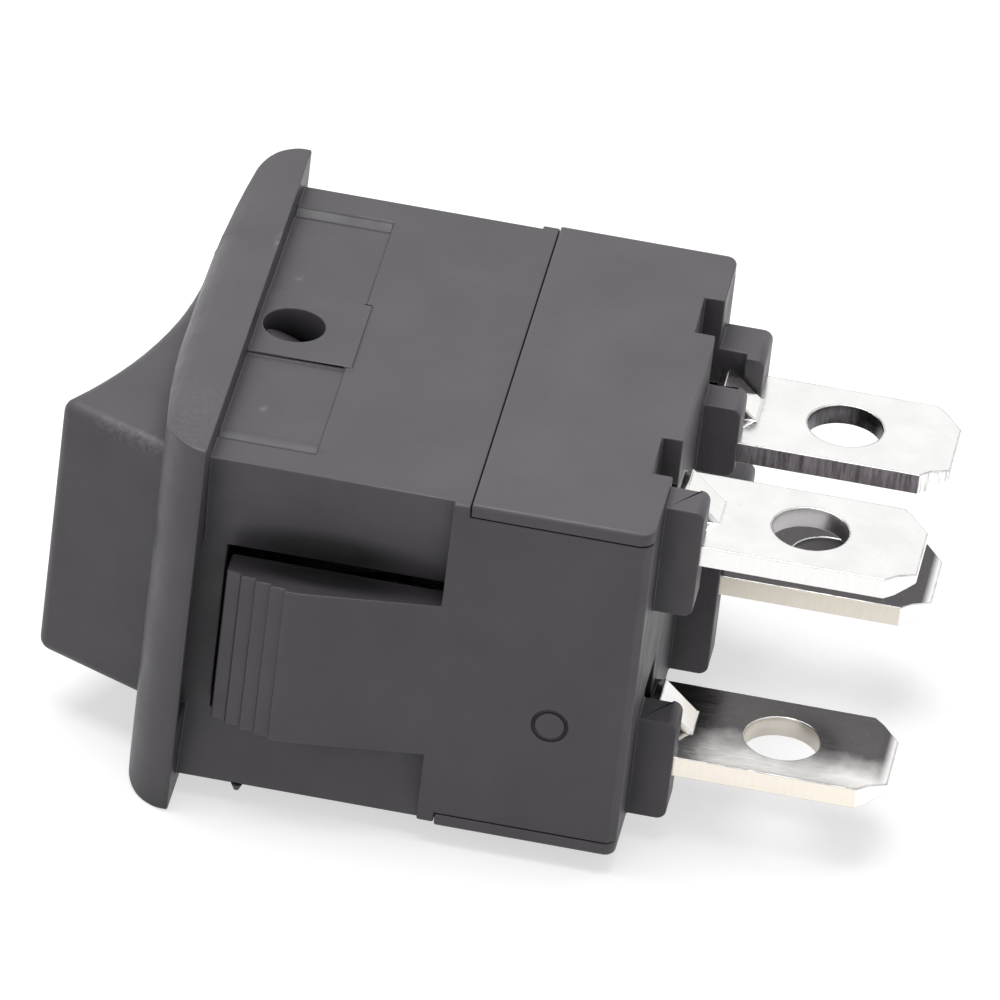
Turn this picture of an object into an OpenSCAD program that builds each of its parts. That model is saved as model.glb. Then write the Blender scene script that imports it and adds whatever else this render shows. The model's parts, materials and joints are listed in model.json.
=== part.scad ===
// Panel rocker switch: two poles, on-off, snap-in body with four blade terminals.
// X runs along the long side, +Y from the bezel's back face towards the terminals, Z across.
// The rocker is shown off: its +X end stands out and its -X end is pressed in.

/* [Bezel] */
// Length of the bezel
bezel_l = 21; // [20.6:0.1:24]
// Width of the bezel
bezel_w = 15; // [14.8:0.1:17]
// Thickness of the bezel at its middle
bezel_t = 2.35; // [2:0.05:2.6]
// Radius of the bezel's front along its length
bezel_crown_r = 60; // [40:5:150]
// Radius round the bezel's two ends
bezel_end_r = 2.2; // [1.9:0.05:2.6]
// Thickness of the bezel's last edge at its two ends
bezel_lip = 0.15; // [0.05:0.05:0.4]
// Radius along the bezel's two long sides
bezel_side_r = 1.4; // [0.5:0.05:1.5]
// Radius of the bezel's four corners
bezel_corner_r = 0.2; // [0.1:0.05:2]

/* [Body] */
// Length of the body behind the panel
body_l = 19.2; // [18.9:0.1:19.8]
// Width of the body behind the panel
body_w = 13.4; // [13:0.1:13.8]
// Depth of the body behind the panel
body_h = 15.7; // [15.4:0.1:18]
// Thickness of the housing's end walls
end_wall = 1.5; // [1.35:0.05:1.6]
// Thickness of the housing's long side walls
side_wall = 1.2; // [1:0.05:1.3]
// Distance from the bezel to the joint between housing and base
split_y = 9.25; // [8.9:0.05:10]
// How far the base stands proud of the housing's sides
base_step = 0.1; // [0.05:0.01:0.15]
// Thickness of the base's strips that lap over the end walls
lap_t = 0.5; // [0.4:0.05:0.7]
// Radius of the body's long corners
body_corner_r = 0.15; // [0.1:0.05:0.35]
// Gap between the housing and the base where they fit together
seat_gap = 0.03; // [0.02:0.01:0.05]
// Radius of the base's last two corners on each side
base_corner_r = 0.55; // [0.2:0.05:1]
// Chamfer on the end walls' last edge
end_chamfer = 0.3; // [0.1:0.05:0.5]

/* [Side panels] */
// Length of the shallow recess next to the bezel
recess_l = 16; // [14:0.1:16.4]
// Width of the recess, away from the bezel
recess_y = 3.5; // [2.8:0.05:3.7]
// Depth of the recess
recess_t = 0.08; // [0.05:0.01:0.2]
// Width of the groove at each end of the recess
groove_l = 0.8; // [0.5:0.05:1.2]
// Depth of those grooves
groove_t = 0.25; // [0.15:0.01:0.3]
// Length of the raised pad round the pivot hole
pad_l = 4.3; // [3.6:0.1:6]
// Reach of the pad, away from the bezel
pad_y = 3.75; // [3.2:0.05:4.2]
// Height of the pad over the side
pad_t = 0.06; // [0.04:0.01:0.15]

/* [Latches] */
// Width of each latch arm
arm_w = 6.2; // [5:0.1:7]
// How far the arms lie off the middle of the end walls
arm_z = -0.75; // [-1:0.05:0]
// Thickness of each latch arm
arm_t = 1.05; // [0.8:0.05:1.05]
// Distance from the bezel to the arm's root
arm_root_y = 8.65; // [8:0.05:8.8]
// Distance from the bezel to the arm's crest
crest_y = 3.75; // [3.2:0.05:4.4]
// Height of the crest
crest_h = 0.8; // [0.6:0.05:1]
// Distance from the bezel to the arm's free end
arm_tip_y = 1.06; // [0.8:0.02:1.4]
// Gap in front of the arm's free end
arm_tip_gap = 0.2; // [0.15:0.05:0.5]
// Ridges on the slope that grips the panel
ridges = 5; // [3:1:7]
// Depth of each ridge
ridge_h = 0.16; // [0.08:0.02:0.2]
// Slit along each side of the arm
arm_slit = 0.3; // [0.2:0.05:0.4]
// Wall left behind the pockets beside the arm
pocket_wall = 0.4; // [0.3:0.05:0.5]
// Depth of the pockets at the body's corners
pocket_lip = 0.25; // [0.15:0.05:0.35]
// Depth of the relief in the bezel's back in front of each arm
relief_t = 0.3; // [0.2:0.05:0.5]
// Width of that relief beyond the body
relief_l = 0.55; // [0.45:0.05:0.8]

/* [Rocker] */
// Tilt of the rocker to each side of its middle
rock_angle = 14; // [11:0.5:14.5]
// Gap between the rocker and the housing's walls
rocker_gap = 0.2; // [0.15:0.01:0.25]
// Height of the rocker's face over the bezel's back, at its middle
rocker_rise = 3.3; // [3:0.05:3.8]
// Radius of the hollow along the rocker's face
rocker_dish_r = 19; // [16:0.5:30]
// Lean of the rocker's end faces
rocker_lean = 11; // [9:0.5:12]
// Radius along the rocker's two tips
rocker_tip_r = 0.5; // [0.3:0.05:0.7]
// Thickness of the rocker's walls
rocker_wall = 1; // [0.8:0.05:1.1]
// Distance from the bezel's back to the ends of the rocker's skirt
skirt_y = 1; // [0.8:0.05:1.2]
// Distance from the bezel's back to the pivot
pivot_y = 1.3; // [1.3:0.05:1.5]
// Diameter of the pivot holes
pivot_d = 2.2; // [1.8:0.05:2.3]
// Radial clearance of the pivot pins
pin_gap = 0.07; // [0.04:0.01:0.09]
// How far the pivot pins end below the housing's sides
pin_inset = 0.35; // [0.2:0.05:0.5]
// How much shorter the pins are on the side that snaps in first
pin_slant = 0.35; // [0.1:0.05:0.4]
// Radius of the rocker's cheeks round the pivot
cheek_r = 2; // [1.8:0.05:2.4]

/* [Plungers and springs] */
// Distance from the pivot to the plungers' tips
plunger_reach = 8.5; // [8.2:0.1:8.8]
// Bore of the tubes that guide the plungers
tube_bore = 2.2; // [2:0.05:2.3]
// Wall of the tubes
tube_wall = 0.5; // [0.45:0.05:0.6]
// Distance from the pivot to the tubes' mouths
tube_y = 5; // [4.6:0.1:5.4]
// Distance from the pivot to the bores' blind ends
bore_y = -2.8; // [-3:0.1:-2]
// Radial clearance of the plungers
plunger_gap = 0.07; // [0.04:0.01:0.09]
// Length of the plungers inside the tubes
plunger_grip = 2.4; // [2:0.1:3]
// Diameter of the spring wire
wire_d = 0.26; // [0.2:0.02:0.32]
// Gap between the springs and the tubes
spring_gap = 0.1; // [0.06:0.02:0.14]
// Turns in each spring
spring_turns = 7; // [5:1:9]

/* [Contacts] */
// Tilt of the bridges to each side of their middle
bridge_angle = 6; // [5:0.5:6.5]
// Thickness of the bridges
bridge_t = 0.5; // [0.4:0.05:0.6]
// Radius of the dish that the plungers work in
bridge_dish_r = 5; // [4.6:0.1:5.4]
// Width of the bridges and of the terminals' shelves
bridge_w = 2.4; // [2.2:0.05:2.5]
// Gap between the plungers and the bridges at the middle
nose_gap = 0.05; // [0.04:0.01:0.08]
// Radius of the edges that the bridges rock on
fulcrum_r = 0.4; // [0.35:0.05:0.45]
// Gap between those edges and the bridges
fulcrum_gap = 0.03; // [0.02:0.01:0.05]
// Diameter of the contact heads
contact_d = 2.2; // [1.8:0.1:2.3]
// Thickness of the contact heads
contact_t = 0.5; // [0.4:0.05:0.6]
// Diameter of the contacts' shanks
shank_d = 1.1; // [0.9:0.05:1.3]
// Gap between the contacts when they are closed
contact_gap = 0.03; // [0.02:0.01:0.06]
// Gap round the contacts' shanks
shank_gap = 0.02; // [0.01:0.01:0.03]

/* [Terminals] */
// Width of the blades
tab_w = 4.8; // [4.6:0.1:5]
// Thickness of the blades
tab_t = 0.8; // [0.7:0.05:0.9]
// Length of the blades outside the body
tab_l = 8.9; // [8.4:0.1:11]
// Chamfer on the blades' corners
tab_chamfer = 1; // [0.6:0.1:1.4]
// Depth of the bevels on the blades' tips
tab_bevel = 0.22; // [0.1:0.02:0.3]
// Length of those bevels
tab_bevel_l = 0.65; // [0.3:0.05:0.9]
// Diameter of the holes in the blades
tab_hole_d = 2.7; // [1.6:0.1:2.9]
// Distance from the holes to the blades' tips
tab_hole_y = 4; // [3.6:0.05:4.4]
// Distance from the body's end to the middle of the load terminals
load_inset = 4.3; // [4.1:0.05:4.5]
// Distance from the body's other end to the middle of the common terminals
common_inset = 5.3; // [5:0.05:5.9]
// Width of the lances
lance_w = 1.5; // [1.2:0.1:1.6]
// Height of the lances over the blades
lance_h = 1.15; // [0.8:0.05:1.3]
// Thickness of the lances
lance_t = 0.45; // [0.35:0.05:0.5]
// Distance from the body to the lances' roots
lance_y = 1.8; // [1.7:0.05:2.2]

/* [Base] */
// Thickness of the wall between the poles
barrier_t = 0.9; // [0.7:0.05:1.1]
// Distance from the bezel's back to the top of that wall
barrier_y = 8.6; // [8.2:0.1:9.2]
// Clearance round the blades in their slots
slot_gap = 0.03; // [0.02:0.01:0.05]
// Height of the posts beside the blades' near edges
post_h = 1.4; // [1.2:0.05:1.5]
// Height of the posts beside the load blades' far edges
far_post_h = 1.7; // [1.2:0.05:1.8]
// How far the posts rise over the middle of the blades
post_rise = 1.9; // [1.5:0.05:1.95]
// Width of the notches for the lances
notch_w = 2.4; // [2:0.1:2.6]
// Depth of the notches
notch_y = 0.75; // [0.5:0.05:0.9]
// Radius along the posts' ends
post_r = 0.35; // [0.2:0.05:0.5]
// How far the near posts overlap the blades
post_grip = 1.3; // [1:0.05:1.5]
// How far the near posts reach past the blades' edges
post_past = 0.25; // [0.1:0.05:0.4]
// How far the far posts reach past the blades' edges
far_post_past = 0.6; // [0.3:0.05:0.8]
// Reach of the snap lugs into the end walls
lug_h = 0.4; // [0.25:0.05:0.5]
// Width of the snap lugs
lug_w = 3.2; // [2:0.1:4]

/* [Hidden] */
$fn = 48;

BLACK = "#2b292b";
NYLON = "#3a383a";
CREAM = "#d8d2bf";
TINNED = "#d9d9d6";
COPPER = "#b87333";
SILVER = "#c9ccd0";

over = 1;                                  // overshoot of a cut past a face
sliver = 0.01;                             // overshoot of a cut that may not reach far
shell_w = body_w - 2 * base_step;
body_end = body_l / 2;
cavity_l = body_l - 2 * end_wall;
cavity_w = shell_w - 2 * side_wall;
wall_z = body_w / 2 - lap_t - seat_gap;    // half the end walls' width past the joint
base_end = cavity_l / 2 - seat_gap;
pocket_x = cavity_l / 2 + pocket_wall;     // floor of the pockets beside the latch arms

load_x = load_inset - body_end;
common_x = body_end - common_inset;

// The bezel's front is one large arc. A smaller arc at each end touches it and runs down to the lip.
crown_c = [0, bezel_crown_r - bezel_t];
lip_p = [bezel_l / 2, -bezel_lip];
lip_d = norm(crown_c - lip_p);
lip_u = (crown_c - lip_p) / lip_d;
end_a = (lip_d * lip_d + bezel_end_r * bezel_end_r - pow(bezel_crown_r - bezel_end_r, 2)) / (2 * lip_d);
end_c = lip_p + end_a * lip_u + sqrt(bezel_end_r * bezel_end_r - end_a * end_a) * [-lip_u[1], lip_u[0]];
touch_x = end_c[0] * bezel_crown_r / (bezel_crown_r - bezel_end_r);

// The rocker, measured from its pivot while level. Its skirt just clears the end walls
// where the pressed end passes the bezel's back.
rocker_w = cavity_w - 2 * rocker_gap;
skirt_dy = skirt_y - pivot_y;
swing_lean = tan(max(rock_angle - rocker_lean, 0));
skirt_x = (cavity_l / 2 - rocker_gap + skirt_dy * sin(rock_angle)
           - (skirt_dy * cos(rock_angle) + pivot_y) * swing_lean)
          / (cos(rock_angle) + sin(rock_angle) * swing_lean);
dish_y = -pivot_y - rocker_rise - rocker_dish_r;
lean_up = [-sin(rocker_lean), -cos(rocker_lean)];
lean_in = [-cos(rocker_lean), sin(rocker_lean)];
skirt = [skirt_x, skirt_dy];
// The tip's arc touches the end face and the dish
tip_start = skirt + rocker_tip_r * lean_in - [0, dish_y];
tip_b = tip_start * lean_up;
tip_c = tip_start * tip_start - pow(rocker_dish_r + rocker_tip_r, 2);
tip = skirt + rocker_tip_r * lean_in + (-tip_b - sqrt(tip_b * tip_b - tip_c)) * lean_up;
tip_reach = tip[0] * cos(rock_angle) - tip[1] * sin(rock_angle) + rocker_tip_r;
mouth_l = 2 * (max(tip_reach, skirt_x) + rocker_gap);
pin_r = pivot_d / 2 - pin_gap;

// The poles lie where the plunger tubes meet the rocker's cheeks
tube_r = tube_bore / 2 + tube_wall;
pole_z = rocker_w / 2 - tube_r;
nose_r = tube_bore / 2 - plunger_gap;
plunger_back = tube_y - plunger_grip;
spring_r = tube_bore / 2 - spring_gap - wire_d / 2;
spigot_l = 0.8;                            // the plungers' spigots inside the springs

// Bridges and terminals, measured from the bezel's back
bridge_y = pivot_y + plunger_reach + nose_gap;
fulcrum_y = bridge_y + bridge_t + fulcrum_gap + fulcrum_r;
dish_half = 2.4;                           // half the length of the bridge's dish
dish_rise = bridge_dish_r - sqrt(bridge_dish_r * bridge_dish_r - dish_half * dish_half);
tail_drop = 0.9;                           // depth of the bridge's flat tail past its middle
tail_y = bridge_y + tail_drop;
tail_past = 0.15;                          // reach of the tail past the contact's head
tail_end = load_x - contact_d / 2 - tail_past;
bend_l = 1;                                // length of each bend beside the bridge's dish
stub_l = 0.6;                              // length of the bridge's short end past its bend
head_reach = tail_y + bridge_t + contact_t - fulcrum_y;
closed_y = fulcrum_y - load_x * sin(bridge_angle) + head_reach * cos(bridge_angle);
shelf_y = closed_y + contact_gap + contact_t;
floor_y = shelf_y + tab_t;
load_z = pole_z - bridge_w / 2 + tab_t / 2;
common_z = pole_z + bridge_w / 2 - tab_t / 2;
tip_y = body_h + tab_l;
dome_r = 2.5;                              // radius of the contacts' domed heads
arm_inset = 0.2;                           // how much narrower the fulcrum's arm is, each side

// Posts of the base
post_under = 0.9;                          // reach below the middle of the blades
common_under = 2.4;                        // reach of the upper common post below its blade
post_root = 0.4;                           // depth of their roots in the base
post_inset = 0.2;                          // lowest posts, in from the base's side
lance_gap = 0.1;
notch_top = post_rise + 0.3;               // reach of the lower notches above their blades

// Lugs of the base and their pockets in the end walls
lug_y = 11.4;
lug_l = 1.3;
tongue_t = 1;                              // thickness of the tongues that carry the lugs
mark_y = 12.9;
mark_z = -1.75;
mark_d = 1.3;
mark_t = 0.12;

// ---- helpers ----

module box(x, y, z) {
    translate([x[0], y[0], z[0]]) cube([x[1] - x[0], y[1] - y[0], z[1] - z[0]]);
}

module both_ends() {
    children();
    mirror([1, 0, 0]) children();
}

module both_sides() {
    children();
    mirror([0, 0, 1]) children();
}

// Extrudes an outline drawn in Y and Z along X
module along_x(x) {
    translate([x[0], 0, 0]) rotate([90, 0, 90]) linear_extrude(x[1] - x[0]) children();
}

// Extrudes an outline drawn in X and Z along Y
module along_y(y) {
    translate([0, y[1], 0]) rotate([90, 0, 0]) linear_extrude(y[1] - y[0]) children();
}

// Extrudes an outline drawn in X and Y along Z
module along_z(z) {
    translate([0, 0, z[0]]) linear_extrude(z[1] - z[0]) children();
}

module round_rect(size, r) {
    square([size[0] - 2 * r, size[1]], center = true);
    square([size[0], size[1] - 2 * r], center = true);
    for (x = [-1, 1], y = [-1, 1])
        translate([x * (size[0] / 2 - r), y * (size[1] / 2 - r)]) circle(r);
}

// A half-height plate standing on u = 0, with its two corners at u = -h rounded
module round_front(half, h, r) {
    translate([-h + r, -half]) square([h - r, 2 * half]);
    translate([-h, -half + r]) square([h, 2 * (half - r)]);
    for (s = [-1, 1]) translate([-h + r, s * (half - r)]) circle(r);
}

// Places what is drawn on the pivot, level, at the rocker's angle at rest
module on_rocker() {
    translate([0, pivot_y, 0]) rotate([0, 0, -rock_angle]) children();
}

// Places what is drawn for a level bridge at the bridge's angle at rest
module on_bridge() {
    translate([0, fulcrum_y, 0]) rotate([0, 0, bridge_angle]) translate([0, -fulcrum_y, 0]) children();
}

// ---- housing ----

module bezel() {
    intersection() {
        along_y([-bezel_t - over, 0]) round_rect([bezel_l, bezel_w], bezel_corner_r);
        along_z([-bezel_w / 2, bezel_w / 2]) {
            intersection() {
                translate(crown_c) circle(bezel_crown_r, $fn = 360);
                translate([-touch_x, -bezel_t]) square([2 * touch_x, bezel_t]);
            }
            for (side = [0, 1]) mirror([side, 0]) intersection() {
                translate(end_c) circle(bezel_end_r, $fn = 96);
                translate([end_c[0], -bezel_t]) square([bezel_l / 2 - end_c[0], bezel_t]);
            }
        }
        along_x([-bezel_l / 2, bezel_l / 2]) round_front(bezel_w / 2, bezel_t, bezel_side_r);
    }
}

module shell() {
    along_y([-bezel_lip, split_y]) round_rect([body_l, shell_w], body_corner_r);
    along_z([-wall_z, wall_z]) polygon([
        [-body_end, 0], [-body_end, body_h - end_chamfer], [end_chamfer - body_end, body_h],
        [body_end - end_chamfer, body_h], [body_end, body_h - end_chamfer], [body_end, 0]]);
}

// Outline of the pockets beside a latch arm, in X and Z
module latch_pocket() {
    lip_x = body_end - pocket_lip;
    edge_z = shell_w / 2;
    slit = arm_w / 2 + arm_slit;
    polygon([[lip_x, edge_z + over], [lip_x, edge_z], [pocket_x, arm_z + slit], [pocket_x, arm_z - slit],
             [lip_x, -edge_z], [lip_x, -edge_z - over], [body_end + over, -edge_z - over],
             [body_end + over, edge_z + over]]);
}

module latch_arm() {
    step = (crest_y - arm_tip_y) / ridges;
    slope = crest_h / (crest_y - arm_tip_y);
    teeth = [for (i = [0:ridges - 1], side = [0, 1])
        let (y = crest_y - i * step - side * step)
        [body_end + slope * (y - arm_tip_y) + (side == 0 ? 0 : ridge_h * (i < ridges - 1 ? 1 : 0.4)), y]];
    along_z([arm_z - arm_w / 2, arm_z + arm_w / 2]) polygon(concat(
        [[body_end - arm_t, arm_root_y + over], [body_end, arm_root_y + over], [body_end, arm_root_y]],
        teeth, [[body_end - arm_t, arm_tip_y]]));
}

// Cuts the shallow recess, with a sloping groove at each end, on one side
module side_recess() {
    top = shell_w / 2;
    both_ends() along_y([0, recess_y]) polygon([
        [pad_l / 2, top + over], [pad_l / 2, top - recess_t], [recess_l / 2 - groove_l, top - recess_t],
        [recess_l / 2 - groove_l / 2, top - groove_t], [recess_l / 2, top - recess_t],
        [recess_l / 2, top + over]]);
}

module housing() {
    slit_z = [arm_z - arm_w / 2 - arm_slit, arm_z + arm_w / 2 + arm_slit];
    color(BLACK) difference() {
        union() {
            difference() {
                union() {
                    bezel();
                    shell();
                }
                both_ends() {
                    along_y([0, arm_root_y]) latch_pocket();
                    box([0, body_end + over], [arm_tip_y - arm_tip_gap, arm_root_y], slit_z);
                    box([pocket_x, body_end + relief_l], [-relief_t, sliver], slit_z);
                }
            }
            both_ends() latch_arm();
            both_sides() box([-pad_l / 2, pad_l / 2], [-bezel_lip, pad_y],
                             [cavity_w / 2, shell_w / 2 + pad_t]);
        }
        box([-cavity_l / 2, cavity_l / 2], [-sliver, body_h + over], [-cavity_w / 2, cavity_w / 2]);
        box([-mouth_l / 2, mouth_l / 2], [-bezel_t - over, 0], [-cavity_w / 2, cavity_w / 2]);
        box([-cavity_l / 2, cavity_l / 2], [split_y, body_h + over], [-body_w / 2, body_w / 2]);
        both_sides() side_recess();
        translate([0, pivot_y, 0]) cylinder(d = pivot_d, h = body_w + 2 * over, center = true);
        both_ends() {
            box([0, cavity_l / 2 + lug_h + seat_gap], [lug_y - seat_gap, lug_y + lug_l + seat_gap],
                [-lug_w / 2 - seat_gap, lug_w / 2 + seat_gap]);
            translate([body_end - mark_t, mark_y, mark_z]) rotate([0, 90, 0]) difference() {
                cylinder(d = mark_d, h = over);
                translate([0, 0, -over]) cylinder(d = mark_d - 2 * mark_t, h = 3 * over);
            }
        }
    }
}

// ---- base ----

// Clears one blade's slot through the floor and its posts, and the notch for its lance
module blade_way(x, z, top_z) {
    box([x - tab_w / 2 - slot_gap, x + tab_w / 2 + slot_gap], [floor_y - over, tip_y],
        [z - tab_t / 2 - slot_gap, z + tab_t / 2 + slot_gap]);
    box([x - notch_w / 2, x + notch_w / 2], [body_h - notch_y, body_h + over], [z, top_z]);
}

// A post standing on the base, its two edges across Z rounded. Its root keeps clear of the end wall.
module post(x, h, z) {
    along_x(x) translate([body_h, (z[0] + z[1]) / 2])
        mirror([1, 0]) round_front((z[1] - z[0]) / 2, h, post_r);
    box([max(x[0], -base_end), x[1]], [body_h - post_root, body_h + post_root], z);
}

// Posts stand beside each blade's near edge, and beside the load blades' far edges
module posts() {
    near = [tab_w / 2 - post_grip, tab_w / 2 + post_past];
    far = [-tab_w / 2 - far_post_past, -lance_w / 2 - lance_gap];
    low = -body_w / 2 + post_inset;
    post(near + [load_x, load_x], post_h, [load_z - post_under, load_z + post_rise]);
    post(near + [common_x, common_x], post_h, [common_z - common_under, common_z + post_rise]);
    post(near + [common_x, common_x], post_h, [low, post_rise - common_z]);
    post(near + [load_x, load_x], post_h, [low, post_rise - load_z]);
    for (z = [load_z, -load_z])
        post(far + [load_x, load_x], far_post_h, [z - post_under, z + post_rise]);
}

module base() {
    top = split_y + seat_gap;
    inner = body_w / 2 - lap_t;
    color(NYLON) difference() {
        union() {
            box([-base_end, base_end], [floor_y, body_h], [-inner, inner]);
            both_sides() {
                box([-base_end, base_end], [top, body_h], [cavity_w / 2, inner]);
                intersection() {
                    along_y([top, body_h]) round_rect([body_l, body_w], body_corner_r);
                    along_z([inner, body_w]) translate([0, top]) rotate(-90)
                        round_front(body_end, body_h - top, base_corner_r);
                }
            }
            box([-base_end, base_end], [barrier_y, body_h], [-barrier_t / 2, barrier_t / 2]);
            both_ends() {
                box([base_end - tongue_t, base_end], [lug_y, body_h], [-lug_w / 2, lug_w / 2]);
                along_z([-lug_w / 2, lug_w / 2]) polygon([
                    [base_end - tongue_t, lug_y], [base_end, lug_y], [base_end + lug_h, lug_y + lug_h],
                    [base_end + lug_h, lug_y + lug_l], [base_end - tongue_t, lug_y + lug_l]]);
            }
            posts();
        }
        blade_way(load_x, load_z, body_w);
        blade_way(common_x, common_z, body_w);
        blade_way(load_x, -load_z, notch_top - load_z);
        blade_way(common_x, -common_z, notch_top - common_z);
    }
}

// ---- rocker ----

// Outline of the rocker from its pivot, level, less a wall of thickness t
module rocker_outline(t) {
    foot = [skirt_x, skirt_dy] + t * lean_in + (t > 0 ? -over : 0) * lean_up;
    line_end = tip - rocker_tip_r * lean_in;
    shoulder = t > 0 ? [line_end[0], line_end[1]] + t * lean_in : line_end;
    to_dish = [0, dish_y] - tip;
    dish_end = tip + rocker_tip_r * to_dish / norm(to_dish);
    points = t > 0 ? [foot, shoulder + over * lean_up] : [foot, line_end, tip, dish_end];
    difference() {
        union() {
            polygon(concat(points, [for (i = [len(points) - 1:-1:0]) [-points[i][0], points[i][1]]]));
            if (t == 0) for (s = [-1, 1]) translate([s * tip[0], tip[1]]) circle(rocker_tip_r);
        }
        translate([0, dish_y]) circle(rocker_dish_r + t, $fn = 96);
    }
}

// The pivot pins as one rod, its ends slanted where they first meet the housing's holes
module pins() {
    half = shell_w / 2 - pin_inset;
    intersection() {
        cylinder(r = pin_r, h = 2 * half, center = true);
        along_x([-2 * pin_r, 2 * pin_r]) polygon([
            [-2 * pin_r, -half], [0, -half], [pin_r, pin_slant - half], [2 * pin_r, 2 * pin_slant - half],
            [2 * pin_r, half - 2 * pin_slant], [pin_r, half - pin_slant], [0, half], [-2 * pin_r, half]]);
    }
}

module rocker() {
    half = rocker_w / 2;
    tube_top = -rocker_rise - pivot_y + rocker_wall / 2;
    color(BLACK) on_rocker() difference() {
        union() {
            difference() {
                along_z([-half, half]) {
                    rocker_outline(0);
                    circle(cheek_r);
                }
                along_z([rocker_wall - half, half - rocker_wall]) {
                    rocker_outline(rocker_wall);
                    circle(cheek_r + over);
                }
            }
            pins();
            both_sides() translate([0, 0, pole_z]) rotate([-90, 0, 0])
                translate([0, 0, tube_top]) cylinder(r = tube_r, h = tube_y - tube_top);
        }
        box([-pin_r - over, pin_r + over], [-pin_r - sliver, pin_r + sliver],
            [tube_r - pole_z, pole_z - tube_r]);
        both_sides() translate([0, bore_y, pole_z]) rotate([-90, 0, 0])
            cylinder(d = tube_bore, h = tube_y - bore_y + over);
    }
}

// ---- plungers and springs ----

module plunger(side) {
    spigot_r = spring_r - wire_d / 2 - spring_gap;
    color(CREAM) on_rocker() translate([0, 0, side * pole_z]) rotate([-90, 0, 0])
        rotate_extrude() intersection() {
            union() {
                translate([0, plunger_back]) square([nose_r, plunger_reach - nose_r - plunger_back]);
                translate([0, plunger_back - spigot_l]) square([spigot_r, spigot_l + nose_r]);
                translate([0, plunger_reach - nose_r]) circle(nose_r);
            }
            square([tube_bore, 2 * plunger_reach]);
        }
}

// Point i of the coil: its ends lie flat for one turn
function coil_point(i, per_turn, pitch) =
    let (t = i / per_turn, rise = min(max(t - 1, 0), spring_turns - 2))
    [spring_r * cos(360 * t), spring_r * sin(360 * t),
     wire_d / 2 + wire_d * (min(t, 1) + max(t - spring_turns + 1, 0)) + pitch * rise];

module spring(side) {
    per_turn = 16;
    sides = 6;
    rings = spring_turns * per_turn;
    pitch = (plunger_back - bore_y - 3 * wire_d) / (spring_turns - 2);
    points = [for (i = [0:rings], k = [0:sides - 1])
        let (p = coil_point(i, per_turn, pitch), a = 360 * i / per_turn, b = 360 * k / sides,
             out = wire_d / 2 * cos(b))
        [p[0] + out * cos(a), p[1] + out * sin(a), p[2] + wire_d / 2 * sin(b)]];
    walls = [for (i = [0:rings - 1], k = [0:sides - 1])
        let (a = i * sides + k, b = i * sides + (k + 1) % sides)
        [a, a + sides, b + sides, b]];
    color(SILVER) on_rocker() translate([0, bore_y, side * pole_z]) rotate([-90, 0, 0])
        polyhedron(points, concat(walls, [[for (k = [0:sides - 1]) k]],
                                  [[for (k = [sides - 1:-1:0]) rings * sides + k]]), convexity = 10);
}

// ---- contacts ----

// Outline of a level bridge in X and Y, before its dish is cut
module bridge_outline() {
    rim_y = bridge_y - dish_rise;
    drop_x = dish_half + bend_l;
    stub_end = drop_x + stub_l;
    polygon([
        [tail_end, tail_y], [-drop_x, tail_y], [-dish_half, rim_y], [dish_half, rim_y],
        [drop_x, tail_y], [stub_end, tail_y], [stub_end, tail_y + bridge_t],
        [drop_x, tail_y + bridge_t], [dish_half, bridge_y + bridge_t],
        [-dish_half, bridge_y + bridge_t], [-drop_x, tail_y + bridge_t],
        [tail_end, tail_y + bridge_t]]);
}

module bridge(side) {
    z = side * pole_z;
    color(COPPER) on_bridge() difference() {
        along_z([z - bridge_w / 2, z + bridge_w / 2]) difference() {
            bridge_outline();
            translate([0, bridge_y - bridge_dish_r]) circle(bridge_dish_r, $fn = 96);
            translate([0, fulcrum_y]) circle(fulcrum_r + fulcrum_gap);
        }
        translate([load_x, tail_y - over, z]) rotate([-90, 0, 0])
            cylinder(d = shank_d + 2 * shank_gap, h = bridge_t + 2 * over);
    }
}

// A rivet standing on y = 0, its domed head towards -Y and its shank towards +Y
module contact(head_t, shank_l) {
    rotate([-90, 0, 0]) {
        cylinder(d = shank_d, h = shank_l);
        intersection() {
            translate([0, 0, -head_t]) cylinder(d = contact_d, h = head_t);
            translate([0, 0, dome_r - head_t]) sphere(dome_r, $fn = 64);
        }
    }
}

module moving_contact(side) {
    color(SILVER) on_bridge() translate([load_x, tail_y + bridge_t, side * pole_z])
        mirror([0, 1, 0]) contact(contact_t, bridge_t);
}

module fixed_contact(side) {
    color(SILVER) translate([load_x, shelf_y, side * pole_z])
        contact(contact_t, tab_t);
}

// ---- terminals ----

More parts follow.
